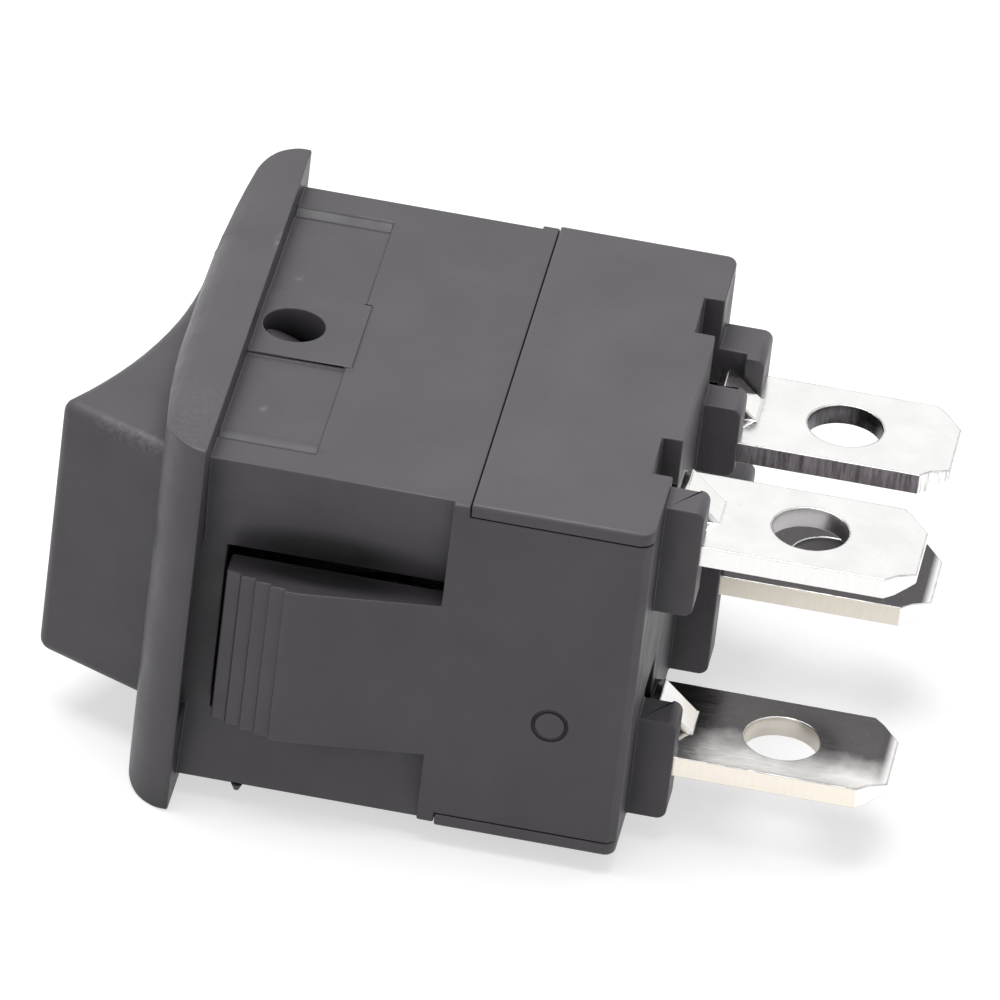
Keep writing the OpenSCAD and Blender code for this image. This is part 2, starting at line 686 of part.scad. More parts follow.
// A blade outside the base, with its hole, chamfers, bevelled tip and lance, centred on x and z
module blade(x, z) {
    half = tab_w / 2;
    root = body_h + lance_y;
    lance_l = lance_h + tab_t / 2;
    translate([x, 0, z]) {
        difference() {
            intersection() {
                along_z([-tab_t / 2, tab_t / 2]) polygon([
                    [-half, floor_y], [-half, tip_y - tab_chamfer], [tab_chamfer - half, tip_y],
                    [half - tab_chamfer, tip_y], [half, tip_y - tab_chamfer], [half, floor_y]]);
                along_x([-half, half]) polygon([
                    [floor_y, -tab_t / 2], [tip_y - tab_bevel_l, -tab_t / 2], [tip_y, tab_bevel - tab_t / 2],
                    [tip_y, tab_t / 2 - tab_bevel], [tip_y - tab_bevel_l, tab_t / 2], [floor_y, tab_t / 2]]);
            }
            translate([0, tip_y - tab_hole_y, 0]) cylinder(d = tab_hole_d, h = 2 * tab_t, center = true);
            box([-lance_w / 2, lance_w / 2], [root - lance_l, root - lance_t], [-tab_t, tab_t]);
        }
        along_x([-lance_w / 2, lance_w / 2]) polygon([
            [root, tab_t / 2], [root - lance_t, tab_t / 2 - lance_t], [root - lance_t, tab_t / 2 - 0.1],
            [root - lance_h - lance_t, tab_t / 2 + lance_h - lance_t / 2],
            [root - lance_h - lance_t / 3, tab_t / 2 + lance_h]]);
    }
}

// The leg through the floor and its bend into the shelf. The leg's outer face is at z0
// and the shelf runs from there towards +Z, or towards -Z where side is -1.
module bent_leg(x, z0, side) {
    translate([0, 0, z0]) mirror([0, 0, side < 0 ? 1 : 0])
        along_x([x - tab_w / 2, x + tab_w / 2]) {
            translate([floor_y, 0]) square(tab_t);
            translate([shelf_y, tab_t]) square([tab_t, bridge_w - tab_t]);
            intersection() {
                translate([floor_y, tab_t]) circle(tab_t);
                translate([shelf_y, 0]) square(tab_t);
            }
        }
}

module load_terminal(side) {
    color(TINNED) {
        difference() {
            bent_leg(load_x, side * (load_z - tab_t / 2), side);
            translate([load_x, shelf_y - over, side * pole_z]) rotate([-90, 0, 0])
                cylinder(d = shank_d + 2 * shank_gap, h = tab_t + over);
        }
        blade(load_x, side * load_z);
    }
}

module common_terminal(side) {
    half = bridge_w / 2 - arm_inset;
    color(TINNED) {
        bent_leg(common_x, side * (common_z + tab_t / 2), -side);
        translate([0, 0, side * pole_z]) {
            box([-2 * fulcrum_r, common_x], [shelf_y, floor_y], [-half, half]);
            along_z([-half, half]) {
                translate([-fulcrum_r, fulcrum_y]) square([2 * fulcrum_r, floor_y - fulcrum_y]);
                translate([0, fulcrum_y]) circle(fulcrum_r);
            }
        }
        blade(common_x, side * common_z);
    }
}

housing();
base();
rocker();
plunger(1);  // plunger_a
plunger(-1);  // plunger_b
spring(1);  // spring_a
spring(-1);  // spring_b
bridge(1);  // bridge_a
bridge(-1);  // bridge_b
moving_contact(1);  // moving_contact_a
moving_contact(-1);  // moving_contact_b
common_terminal(1);  // common_terminal_a
common_terminal(-1);  // common_terminal_b
load_terminal(1);  // load_terminal_a
load_terminal(-1);  // load_terminal_b
fixed_contact(1);  // fixed_contact_a
fixed_contact(-1);  // fixed_contact_b
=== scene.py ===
"""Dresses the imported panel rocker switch: moulded nylon, tinned blades, worn edges and marks."""

import json
import math
from collections import namedtuple

import bmesh
import bpy
from bpy.props import FloatProperty, FloatVectorProperty, PointerProperty
from mathutils import Matrix, Vector


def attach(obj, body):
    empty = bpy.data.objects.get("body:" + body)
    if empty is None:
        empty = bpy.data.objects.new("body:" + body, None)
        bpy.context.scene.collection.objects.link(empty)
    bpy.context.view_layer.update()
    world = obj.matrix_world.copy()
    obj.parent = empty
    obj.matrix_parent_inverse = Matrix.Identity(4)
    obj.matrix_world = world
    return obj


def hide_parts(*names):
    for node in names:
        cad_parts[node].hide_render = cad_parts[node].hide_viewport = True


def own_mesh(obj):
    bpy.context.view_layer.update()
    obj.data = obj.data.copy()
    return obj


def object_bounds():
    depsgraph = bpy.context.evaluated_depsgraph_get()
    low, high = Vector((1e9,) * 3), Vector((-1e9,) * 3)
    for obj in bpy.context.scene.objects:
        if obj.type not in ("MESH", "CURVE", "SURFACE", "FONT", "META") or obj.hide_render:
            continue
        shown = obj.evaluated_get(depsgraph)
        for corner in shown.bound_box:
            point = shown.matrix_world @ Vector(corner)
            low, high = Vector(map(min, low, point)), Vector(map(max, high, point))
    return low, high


bl_info = {
    "name": "Panel rocker switch",
    "version": (1, 0, 0),
    "blender": (4, 5, 0),
    "location": "View3D > Sidebar > Switch",
    "description": "Finishes and fine detail of a two-pole panel rocker switch",
    "category": "Object",
}

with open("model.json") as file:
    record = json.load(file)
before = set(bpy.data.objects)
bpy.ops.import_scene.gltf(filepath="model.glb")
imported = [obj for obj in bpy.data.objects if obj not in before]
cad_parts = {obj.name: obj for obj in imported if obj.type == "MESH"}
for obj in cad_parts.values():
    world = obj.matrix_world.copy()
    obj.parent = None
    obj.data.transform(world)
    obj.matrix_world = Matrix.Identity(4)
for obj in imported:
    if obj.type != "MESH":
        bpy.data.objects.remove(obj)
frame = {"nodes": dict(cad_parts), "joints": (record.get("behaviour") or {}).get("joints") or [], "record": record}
CAD_LOW, CAD_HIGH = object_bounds()
MM = 0.001
POLES = ("a", "b")

WELD = 0.0005 * MM                # vertices closer than this are one
FLAT_ANGLE = math.radians(0.6)    # faces that meet at less than this are one flat face
SHARP_ANGLE = math.radians(28)    # edges between faces at more than this are rounded
SHADED_ANGLE = math.radians(40)   # edges at more than this stay sharp in the shading

# A spot of wear, of painted highlight or of painted shade: its place and radius in millimetres, how
# far the pattern is squeezed along each axis, and its strength
Spot = namedtuple("Spot", "place radius stretch strength")
# Scuff marks and nicks; the first two spots are a painted highlight, a mottled lighter sheen on the bezel's rim
# near its +X corner
HOUSING_SCUFFS_AND_SHEEN = (
    Spot((7.2, -0.7, 7.5), 2.8, (1, 1.6, 1), 0.12),
    Spot((9.2, -0.8, 7.5), 1.9, (1, 1.4, 1), 0.16),
    Spot((-3.3, 0.92, 6.6), 0.4, (1, 2, 1), 1.0),
    Spot((-4.0, 0, 7.5), 0.9, (1, 4, 1), 1.0),
    Spot((5.5, 1.2, 6.6), 0.35, (1, 1.5, 1), 0.7),
)
# Painted shade: a dark patch over the latch's slot and a thin dark band across the top face near its +X end, each
# mirrored in X, Y and Z
HOUSING_PAINTED_SHADE = (
    Spot((9.1, 4.4, 3.0), 4.6, (5, 1, 3.8), 0.9),
    Spot((7.7, 1.8, 6.45), 2.4, (6, 1, 6), 0.4),
)
ROCKER_SCUFFS = [Spot((6.05 + 0.25 * i, -4.3 + 0.62 * i, 5.05), 0.5, (1, 1, 1), 0.55)
                 for i in range(5)]

PIP_PLACE = Vector((9.25, 2.2, -6.74)) * MM
PIP_ROOT_RADIUS = 0.21 * MM
PIP_TIP_RADIUS = 0.1 * MM
PIP_HEIGHT = 0.24 * MM

TIP_DIRECTION = (-0.5, -0.866, 0)      # from the pivot towards the rocker's pressed-in tip
PIN_ROOT = 5.3 * MM                    # the pins are what lies farther out than this
PIN_SLANT_START = 5.85 * MM            # where the slant crosses the pins' axis
PIN_SLOPE = (-0.36, 0.42, 1.0)         # faces away from the slanted end
FACE_SIDE = -2 * MM                    # the cheeks are at their widest nearer the face than this
CHEEK_ROUND_END = 0.6 * MM             # their outline is rounded where it reaches past this
CHEEK_TOLERANCE = 0.01 * MM

# The grey sheared edge and the dark and grey hole walls are painted reflection and shade, different on each blade;
# the cream is the brass's own colour
GREY_SHEAR = (0.15, 0.135, 0.145)
CREAM_SHEAR = (0.88, 0.82, 0.73)
WHITE_SHEAR = (0.85, 0.845, 0.83)
DARK_BORE = (0.1, 0.095, 0.1)
# How a terminal is finished: the colours of its sheared edge and of its hole's wall, the X in
# millimetres at which its painted dark reflection starts to fade and ends, and how strongly its edge is scored
Plating = namedtuple("Plating", "side bore dull marks")
PLATINGS = {
    "load_terminal_a": Plating(GREY_SHEAR, DARK_BORE, None, 0.45),
    "load_terminal_b": Plating(CREAM_SHEAR, DARK_BORE, (-2.9, -2.2), 0.02),
    "common_terminal_a": Plating(WHITE_SHEAR, (0.42, 0.41, 0.41), None, 0.02),
    "common_terminal_b": Plating(CREAM_SHEAR, (0.6, 0.56, 0.5), (4.4, 6.3), 0.02),
}

KEY_PLACE = Vector((-20, -40, 270)) * MM      # from the middle of the switch
FILL_PLACE = Vector((240, -120, 60)) * MM
AIM = Vector((0, 8 * MM, 0))
FLOOR_GAP = 0.01 * MM
FLOOR_COLOR = (0.55, 0.55, 0.55, 1)
FLOOR_GLOW = 0.6
WHITE = (1, 1, 1, 1)


# ---- sizes and colours that a user may change ----


def length(name, description, default, low=0.0, high=1.0):
    return FloatProperty(name=name, description=description, default=default, min=low, max=high,
                         precision=5, subtype="DISTANCE", unit="LENGTH")


def tint(name, description, default):
    return FloatVectorProperty(name=name, description=description, default=default, size=3,
                               min=0.0, max=1.0, subtype="COLOR")


def share(name, description, default):
    return FloatProperty(name=name, description=description, default=default, min=0.0, max=1.0,
                         subtype="FACTOR")


class SwitchBodySettings(bpy.types.PropertyGroup):
    """Moulded housing and base"""

    color: tint("Colour", "Colour of the housing's nylon", (0.063, 0.0565, 0.065))
    base_color: tint("Base colour", "Colour of the base's nylon", (0.069, 0.062, 0.071))
    # Edges take this colour, partly as wear and partly as a painted highlight; the scuff marks and the painted
    # sheen take it brightened
    edge_color: tint("Edge colour", "Colour that rubbed edges turn to", (0.16, 0.155, 0.16))
    roughness: share("Roughness", "Roughness of the nylon", 0.46)
    edge_radius: length("Edge radius", "Rounding of the mouldings' edges", 0.06 * MM)
    grain: length("Grain", "Size of the mould's fine texture", 0.09 * MM)


class SwitchRockerSettings(bpy.types.PropertyGroup):
    """Rocker"""

    color: tint("Colour", "Colour of the rocker's nylon", (0.059, 0.053, 0.061))
    roughness: share("Roughness", "Roughness of the rocker", 0.5)
    edge_radius: length("Edge radius", "Rounding of the rocker's edges", 0.12 * MM)
    face_radius: length("Face radius", "Rounding where its face and ends meet its cheeks",
                        0.48 * MM)
    far_tip_cut: length("Tip cut", "How far the pressed-in tip is cut down", 0.36 * MM)


class SwitchTerminalSettings(bpy.types.PropertyGroup):
    """Blades and their shelves"""

    color: tint("Colour", "Colour of the tin plating", (0.93, 0.925, 0.91))
    # Painted reflection: the dark colour put on two blades' level faces in place of the dark body they mirror
    painted_reflection_color: tint("Painted reflection", "Colour of the plating where it has gone dull",
                     (0.1, 0.093, 0.096))
    line_color: tint("Coined edge", "Colour along the blades' bevelled edges",
                     (0.1, 0.096, 0.098))
    roughness: share("Roughness", "Roughness of the plating", 0.16)
    edge_radius: length("Edge radius", "Rounding of the blades' edges", 0.05 * MM)


class SwitchMechanismSettings(bpy.types.PropertyGroup):
    """Plungers, springs, bridges and contacts"""

    plunger_color: tint("Plungers", "Colour of the plungers", (0.75, 0.7, 0.58))
    steel_color: tint("Springs", "Colour of the spring wire", (0.6, 0.6, 0.6))
    copper_color: tint("Bridges", "Colour of the bridges", (0.8, 0.45, 0.26))
    silver_color: tint("Contacts", "Colour of the contacts", (0.85, 0.85, 0.82))
    edge_radius: length("Edge radius", "Rounding of the small pieces' edges", 0.04 * MM)


class SwitchStageSettings(bpy.types.PropertyGroup):
    """Floor, light and camera"""

    azimuth: FloatProperty(name="Azimuth", description="Where the camera stands round the switch",
                           default=math.radians(95.708), subtype="ANGLE", unit="ROTATION")
    elevation: FloatProperty(name="Elevation", description="Height of the camera over the switch",
                             default=math.radians(32.508), subtype="ANGLE", unit="ROTATION")
    roll: FloatProperty(name="Roll", description="Turn of the camera about its own axis",
                        default=math.radians(7.036), subtype="ANGLE", unit="ROTATION")
    distance: length("Distance", "From the camera to the middle of the switch", 572.07 * MM,
                     0.1, 2.0)
    lens: FloatProperty(name="Lens", description="Focal length in millimetres", default=583.86,
                        min=50, max=1000)
    aim_right: length("Aim right", "Shift of the aim to the right", 1.331 * MM, -0.1, 0.1)
    aim_up: length("Aim up", "Shift of the aim upwards", 0.59 * MM, -0.1, 0.1)
    world: FloatProperty(name="World", description="Strength of the light from all round",
                         default=0.4, min=0.0, max=2.0)


# ---- meshes ----


def new_piece(name, bm, body):
    """Makes an object of bm, shaded smooth apart from its sharp edges, that rides on a body."""
    mesh = bpy.data.meshes.new(name)
    bm.to_mesh(mesh)
    bm.free()
    mesh.shade_smooth()
    mesh.set_sharp_from_angle(angle=SHADED_ANGLE)
    piece = bpy.data.objects.new(name, mesh)
    bpy.context.scene.collection.objects.link(piece)
    weighted = piece.modifiers.new("flat_faces_stay_flat", "WEIGHTED_NORMAL")
    weighted.keep_sharp = True
    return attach(piece, body)


def body_of_node(node):
    bodies = frame["record"]["behaviour"]["bodies"]
    return next(body for body, members in bodies.items() if node in members)


def joint_named(name):
    return next(joint for joint in frame["joints"] if joint["name"] == name)


def welded(node):
    """A bmesh of a CAD node with its loose triangles merged."""
    bm = bmesh.new()
    bm.from_mesh(frame["nodes"][node].data)
    bmesh.ops.remove_doubles(bm, verts=bm.verts, dist=WELD)
    return bm


def merged(node):
    """A bmesh of a CAD node with its triangles merged and its flat faces whole."""
    bm = welded(node)
    bmesh.ops.dissolve_limit(bm, angle_limit=FLAT_ANGLE, verts=bm.verts, edges=bm.edges)
    return bm


def is_sharp(edge):
    return edge.is_manifold and edge.calc_face_angle() > SHARP_ANGLE


def round_edges(bm, edges, radius, segments=2):
    bmesh.ops.bevel(bm, geom=edges, offset=radius, offset_type="OFFSET", segments=segments,
                    profile=0.5, affect="EDGES", clamp_overlap=False, material=-1)


def dress(node, material, radius):
    """Replaces a CAD node by a copy with rounded edges, and gives it its finish."""
    return finish_copy(merged(node), node, material, radius)


def finish_copy(bm, node, material, radius):
    """Rounds what is still sharp on a node's copy, which then stands for the node."""
    round_edges(bm, [e for e in bm.edges if is_sharp(e)], radius)
    piece = new_piece(node + "_finish", bm, body_of_node(node))
    piece.data.materials.append(material)
    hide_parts(node)
    return piece


# ---- materials ----


class Recipe:
    """A material's node tree, with short calls to add nodes and join them."""

    def __init__(self, name, roughness, metallic=0.0):
        self.material = bpy.data.materials.new(name)
        self.material.use_nodes = True
        self.tree = self.material.node_tree
        self.shader = self.tree.nodes["Principled BSDF"]
        self.shader.inputs["Roughness"].default_value = roughness
        self.shader.inputs["Metallic"].default_value = metallic

    def add(self, kind, **inputs):
        node = self.tree.nodes.new("ShaderNode" + kind)
        for name, value in inputs.items():
            socket = node.inputs[name.replace("_", " ")]
            if isinstance(value, bpy.types.NodeSocket):
                self.tree.links.new(value, socket)
            else:
                socket.default_value = value
        return node

    def place(self, scale=(1, 1, 1)):
        """Object coordinates, stretched by scale."""
        coordinates = self.add("TexCoord").outputs["Object"]
        return self.add("Mapping", Vector=coordinates, Scale=scale).outputs["Vector"]

    def noise(self, size, detail=3.0, roughness=0.5, stretch=(1, 1, 1)):
        """Noise with blobs of about a size, in metres."""
        return self.add("TexNoise", Vector=self.place(stretch), Scale=1 / size, Detail=detail,
                        Roughness=roughness).outputs["Fac"]

    def steps(self, value, low, high, to_low, to_high):
        node = self.add("MapRange", Value=value, From_Min=low, From_Max=high, To_Min=to_low,
                        To_Max=to_high)
        node.clamp = True
        return node.outputs["Result"]

    def mix(self, factor, first, second):
        node = self.tree.nodes.new("ShaderNodeMix")
        node.data_type = "RGBA"
        for index, value in ((0, factor), (6, first), (7, second)):
            if isinstance(value, bpy.types.NodeSocket):
                self.tree.links.new(value, node.inputs[index])
            elif index == 0:
                node.inputs[index].default_value = value
            else:
                node.inputs[index].default_value = (*value, 1)
        return node.outputs[2]

    def math(self, operation, first, second=0.0):
        return self.calculate("ShaderNodeMath", operation, first, second).outputs[0]

    def vector_math(self, operation, *values):
        return self.calculate("ShaderNodeVectorMath", operation, *values).outputs

    def calculate(self, kind, operation, *values):
        node = self.tree.nodes.new(kind)
        node.operation = operation
        for socket, value in zip(node.inputs, values):
            if isinstance(value, bpy.types.NodeSocket):
                self.tree.links.new(value, socket)
            else:
                socket.default_value = value
        return node

    def edges(self, radius, low=0.8, high=0.985):
        """1 along convex and hollow edges, 0 on open faces."""
        bevel = self.add("Bevel", Radius=radius)
        bevel.samples = 6
        flat = self.add("NewGeometry").outputs["Normal"]
        agreement = self.vector_math("DOT_PRODUCT", bevel.outputs["Normal"], flat)["Value"]
        return self.steps(agreement, low, high, 1, 0)

    def hidden(self, reach):
        """1 deep in slots and corners, 0 on open faces."""
        node = self.add("AmbientOcclusion", Distance=reach)
        node.samples = 8
        return self.steps(node.outputs["AO"], 0.2, 0.9, 1, 0)

    def near(self, place, radius, stretch=(1, 1, 1), mirrored=False):
        """1 at a place in millimetres, fading to 0 at a radius from it.

        Where mirrored is set, its mirror images in X, Y and Z are marked as well.
        """
        here = self.place(stretch)
        if mirrored:
            here = self.vector_math("ABSOLUTE", here)[0]
        middle = Vector(place) * Vector(stretch) * MM
        away = self.vector_math("DISTANCE", here, middle)["Value"]
        return self.steps(away, 0, radius, 1, 0)

    def bump(self, height, distance, strength=1.0, under=None):
        node = self.add("Bump", Height=height, Distance=distance, Strength=strength)
        if under is not None:
            self.tree.links.new(under, node.inputs["Normal"])
        return node.outputs["Normal"]

    def join(self, **sockets):
        for name, value in sockets.items():
            self.tree.links.new(value, self.shader.inputs[name.replace("_", " ")])
        return self.material


def scaled(color, factor):
    return tuple(min(1.0, c * factor) for c in color)


def nylon(name, color, edge_color, roughness, grain, worn_and_highlighted=0.6, scuffs_and_sheen=(), painted_shade=()):
    """Moulded black nylon: cloudy, finely eroded, lighter on its edges from wear and a painted highlight, and
    darkened by painted shade in its slots.
    """
    recipe = Recipe(name, roughness)
    cloud = recipe.steps(recipe.noise(3.5 * MM, 4), 0.35, 0.65, 0, 1)
    base = recipe.mix(cloud, scaled(color, 0.92), scaled(color, 1.1))
    # Painted shade: slots and corners are darkened towards black by how hidden they are from open air
    hidden = recipe.hidden(1.1 * MM)
    base = recipe.mix(recipe.math("MULTIPLY", hidden, 0.8), base, scaled(color, 0.12))
    # Painted shade: each spot darkens the nylon towards black
    for spot in painted_shade:
        dark = recipe.near(spot.place, spot.radius * MM, spot.stretch, mirrored=True)
        dark = recipe.steps(dark, 0, 0.35, 0, spot.strength)
        base = recipe.mix(dark, base, scaled(color, 0.12))
    # Open edges are lightened: partly wear from rubbing, partly a painted highlight
    open_air = recipe.steps(hidden, 0.1, 0.5, 1, 0)
    patchy = recipe.steps(recipe.noise(0.7 * MM, 6, 0.65), 0.38, 0.66, 0.1, worn_and_highlighted)
    wear_and_highlight = recipe.math("MULTIPLY", recipe.edges(0.12 * MM), patchy)
    wear_and_highlight = recipe.math("MULTIPLY", wear_and_highlight, open_air)
    base = recipe.mix(wear_and_highlight, base, edge_color)
    scratches = recipe.steps(recipe.noise(0.22 * MM, 8, 0.8), 0.46, 0.72, 0, 1)
    # Scuff marks lighten the nylon; on the housing, the first two spots are a painted highlight instead
    for spot in scuffs_and_sheen:
        mark = recipe.near(spot.place, spot.radius * MM, spot.stretch)
        mark = recipe.math("MULTIPLY", mark, scratches)
        mark = recipe.math("MULTIPLY", mark, spot.strength)
        base = recipe.mix(mark, base, scaled(edge_color, 2.2))
    satin = recipe.steps(recipe.noise(1.6 * MM, 5, 0.6), 0.3, 0.7,
                         roughness - 0.07, roughness + 0.08)
    grainy = recipe.bump(recipe.noise(grain, 2), 0.012 * MM, 0.5)
    wavy = recipe.bump(recipe.noise(2.8 * MM, 2), 0.03 * MM, 0.5, grainy)
    return recipe.join(Base_Color=base, Roughness=satin, Normal=wavy)


def tinned(name, settings, plating, middle):
    """Tin plating over brass strip. middle is the middle of the blade's hole, in millimetres."""
    color, roughness = settings.color, settings.roughness
    recipe = Recipe(name, roughness, 1.0)
    streaks = recipe.noise(0.06 * MM, 3, 0.6, (1, 0.06, 1))
    cloud = recipe.steps(recipe.noise(1.4 * MM, 4), 0.35, 0.65, 0, 1)
    base = recipe.mix(cloud, scaled(color, 0.96), scaled(color, 1.04))
    specks = recipe.steps(recipe.noise(0.16 * MM, 6, 0.7), 0.6, 0.7, 0, 1)
    wobble = recipe.noise(1.6 * MM, 3)
    x = recipe.add("SeparateXYZ", Vector=recipe.place()).outputs["X"]
    normal = recipe.add("TexCoord").outputs["Normal"]
    facing = recipe.add("SeparateXYZ", Vector=normal)
    tilt = recipe.math("ABSOLUTE", facing.outputs["Z"])
    # Painted reflection: the level faces of these blades are darkened up to an X, then fade back to plating, in
    # place of the dark body they mirror
    if plating.dull:
        fade, end = plating.dull
        across = recipe.math("ADD", x, recipe.steps(wobble, 0.3, 0.7, -0.35 * MM, 0.35 * MM))
        painted_reflection_mask = recipe.steps(across, fade * MM, end * MM, 1, 0)
        painted_reflection_mask = recipe.math("MULTIPLY", painted_reflection_mask, recipe.steps(specks, 0, 1, 1, 0.82))
        level = recipe.steps(tilt, 0.955, 0.985, 0, 1)
        painted_reflection_mask = recipe.math("MULTIPLY", painted_reflection_mask, level)
        base = recipe.mix(painted_reflection_mask, base, settings.painted_reflection_color)
    else:
        base = recipe.mix(recipe.math("MULTIPLY", specks, 0.12), base, settings.line_color)
    lines = recipe.math("MULTIPLY", recipe.edges(0.1 * MM, 0.98, 0.9985),
                        recipe.steps(recipe.noise(0.5 * MM, 4), 0.35, 0.6, 0.4, 1))
    base = recipe.mix(lines, base, settings.line_color)
    upright = recipe.steps(tilt, 0.3, 0.6, 1, 0)
    shear_marks = recipe.steps(recipe.noise(0.14 * MM, 4, 0.7, (1, 1, 0.12)), 0.35, 0.65,
                               1 - plating.marks, 1 + plating.marks)
    hole = recipe.steps(recipe.near((*middle, 0), 4 * MM, (1, 1, 0.001)), 0.62, 0.64, 0, 1)
    flank = recipe.steps(recipe.math("ABSOLUTE", facing.outputs["X"]), 0.8, 0.93, 0, 1)
    wall = recipe.mix(hole, recipe.mix(flank, color, plating.side), plating.bore)
    marked = recipe.add("VectorMath", Vector=wall)
    marked.operation = "SCALE"
    recipe.tree.links.new(shear_marks, marked.inputs["Scale"])
    base = recipe.mix(upright, base, marked.outputs[0])
    satin = recipe.steps(streaks, 0.3, 0.7, roughness - 0.05, roughness + 0.06)
    rough = recipe.math("ADD", satin, recipe.math("MULTIPLY", upright, 0.18))
    rolled = recipe.bump(streaks, 0.0012 * MM, 0.5)
    wavy = recipe.bump(wobble, 0.012 * MM, 0.5, rolled)
    return recipe.join(Base_Color=base, Roughness=rough, Normal=wavy)


def smooth_plastic(name, color, roughness):
    """Natural acetal with a faint cloud."""
    recipe = Recipe(name, roughness)
    cloud = recipe.steps(recipe.noise(1.2 * MM, 3), 0.35, 0.65, 0, 1)
    return recipe.join(Base_Color=recipe.mix(cloud, scaled(color, 0.93), scaled(color, 1.05)))


def drawn_metal(name, color, roughness):
    """Stamped or drawn metal with a fine satin grain."""
    recipe = Recipe(name, roughness, 1.0)
    grain = recipe.noise(0.12 * MM, 4, 0.6)
    base = recipe.mix(recipe.steps(grain, 0.3, 0.7, 0, 1), scaled(color, 0.9), scaled(color, 1.06))
    satin = recipe.steps(grain, 0.3, 0.7, roughness - 0.08, roughness + 0.1)
    return recipe.join(Base_Color=base, Roughness=satin, Normal=recipe.bump(grain, 0.002 * MM, 0.5))


# ---- pieces ----


class SWITCH_OT_housing(bpy.types.Operator):
    """Give the housing and its latch arms rounded edges and moulded nylon"""

    bl_idname = "switch.housing"
    bl_label = "Housing"

    def execute(self, context):
        s = context.scene.switch_body
        black = nylon("housing_nylon", s.color, s.edge_color, s.roughness, s.grain,
                      scuffs_and_sheen=HOUSING_SCUFFS_AND_SHEEN, painted_shade=HOUSING_PAINTED_SHADE)
        dress("housing", black, s.edge_radius)
        add_pip(black)
        return {"FINISHED"}


def add_pip(material):
    """The small pip that the mould's gate leaves on the housing's lower edge."""
    bm = bmesh.new()
    bmesh.ops.create_cone(bm, cap_ends=True, segments=16, radius1=PIP_ROOT_RADIUS,
                          radius2=PIP_TIP_RADIUS, depth=PIP_HEIGHT)
    bmesh.ops.rotate(bm, verts=bm.verts, matrix=Matrix.Rotation(math.pi, 3, "X"))
    bmesh.ops.translate(bm, verts=bm.verts, vec=PIP_PLACE)
    pip = new_piece("gate_pip", bm, "frame")
    pip.data.materials.append(material)


class SWITCH_OT_base(bpy.types.Operator):
    """Give the base and its posts rounded edges and moulded nylon"""

    bl_idname = "switch.base"
    bl_label = "Base"

    def execute(self, context):
        s = context.scene.switch_body
        black = nylon("base_nylon", s.base_color, s.edge_color, s.roughness, s.grain)
        dress("base", black, s.edge_radius)
        return {"FINISHED"}


class SWITCH_OT_rocker(bpy.types.Operator):
    """Give the rocker soft edges, slanted pins and a fine matte face"""

    bl_idname = "switch.rocker"
    bl_label = "Rocker"

    def execute(self, context):
        s = context.scene.switch_rocker
        body = context.scene.switch_body
        finish = nylon("rocker_nylon", s.color, body.edge_color, s.roughness, body.grain,
                       worn_and_highlighted=0.9, scuffs_and_sheen=ROCKER_SCUFFS)
        bm = merged("rocker")
        cut_tip(bm, s.far_tip_cut)
        for side in (-1, 1):
            slant_pin(bm, side)
        round_edges(bm, cheek_outline(bm), s.face_radius, segments=5)
        finish_copy(bm, "rocker", finish, s.edge_radius)
        return {"FINISHED"}


def cheek_outline(bm):
    """The sharp edges where the rocker's face and ends meet its cheeks."""
    cheek = max(abs(v.co.z) for v in bm.verts if v.co.y < FACE_SIDE)
    return [e for e in bm.edges if is_sharp(e)
            and all(abs(abs(v.co.z) - cheek) < CHEEK_TOLERANCE for v in e.verts)
            and any(v.co.y < CHEEK_ROUND_END for v in e.verts)]


def cut_tip(bm, depth):
    """Cuts the rocker's pressed-in tip down by a depth along its diagonal."""
    out = Vector(TIP_DIRECTION).normalized()
    top = max(out.dot(v.co) for v in bm.verts)
    slice_off(bm, bm.verts[:] + bm.edges[:] + bm.faces[:], out * (top - depth), out)


def slant_pin(bm, side):
    """Slants the end of a pivot pin, so that it slides past the housing's wall when pushed in."""
    pivot = Vector(joint_named("rocker_tilt")["pos_m"])
    pin = [f for f in bm.faces if side * f.calc_center_median().z > PIN_ROOT]
    verts = dict.fromkeys(v for f in pin for v in f.verts)      # each once, in a fixed order
    edges = dict.fromkeys(e for f in pin for e in f.edges)
    slope = Vector((PIN_SLOPE[0], PIN_SLOPE[1], PIN_SLOPE[2] * side)).normalized()
    start = pivot + Vector((0, 0, side * PIN_SLANT_START))
    slice_off(bm, [*verts, *edges, *pin], start, slope)


def slice_off(bm, geom, point, outwards):
    """Removes what lies beyond a plane and closes the cut."""
    cut = bmesh.ops.bisect_plane(bm, geom=geom, dist=1e-8, plane_co=point, plane_no=outwards,
                                 clear_outer=True)
    rim = [e for e in cut["geom_cut"] if isinstance(e, bmesh.types.BMEdge)]
    bmesh.ops.holes_fill(bm, edges=rim, sides=0)
    bmesh.ops.recalc_face_normals(bm, faces=bm.faces)


class SWITCH_OT_terminals(bpy.types.Operator):
    """Give the four terminals rounded edges and tin plating"""

    bl_idname = "switch.terminals"
    bl_label = "Terminals"

    def execute(self, context):
        s = context.scene.switch_terminals
        mounts = {mount["name"]: mount for mount in frame["record"]["mounts"]}
        for node, plating in PLATINGS.items():
            x, y, _ = mounts[node.replace("_terminal", "") + "_hole"]["pos_m"]
            dress(node, tinned(node + "_tin", s, plating, (x / MM, y / MM)), s.edge_radius)
        return {"FINISHED"}


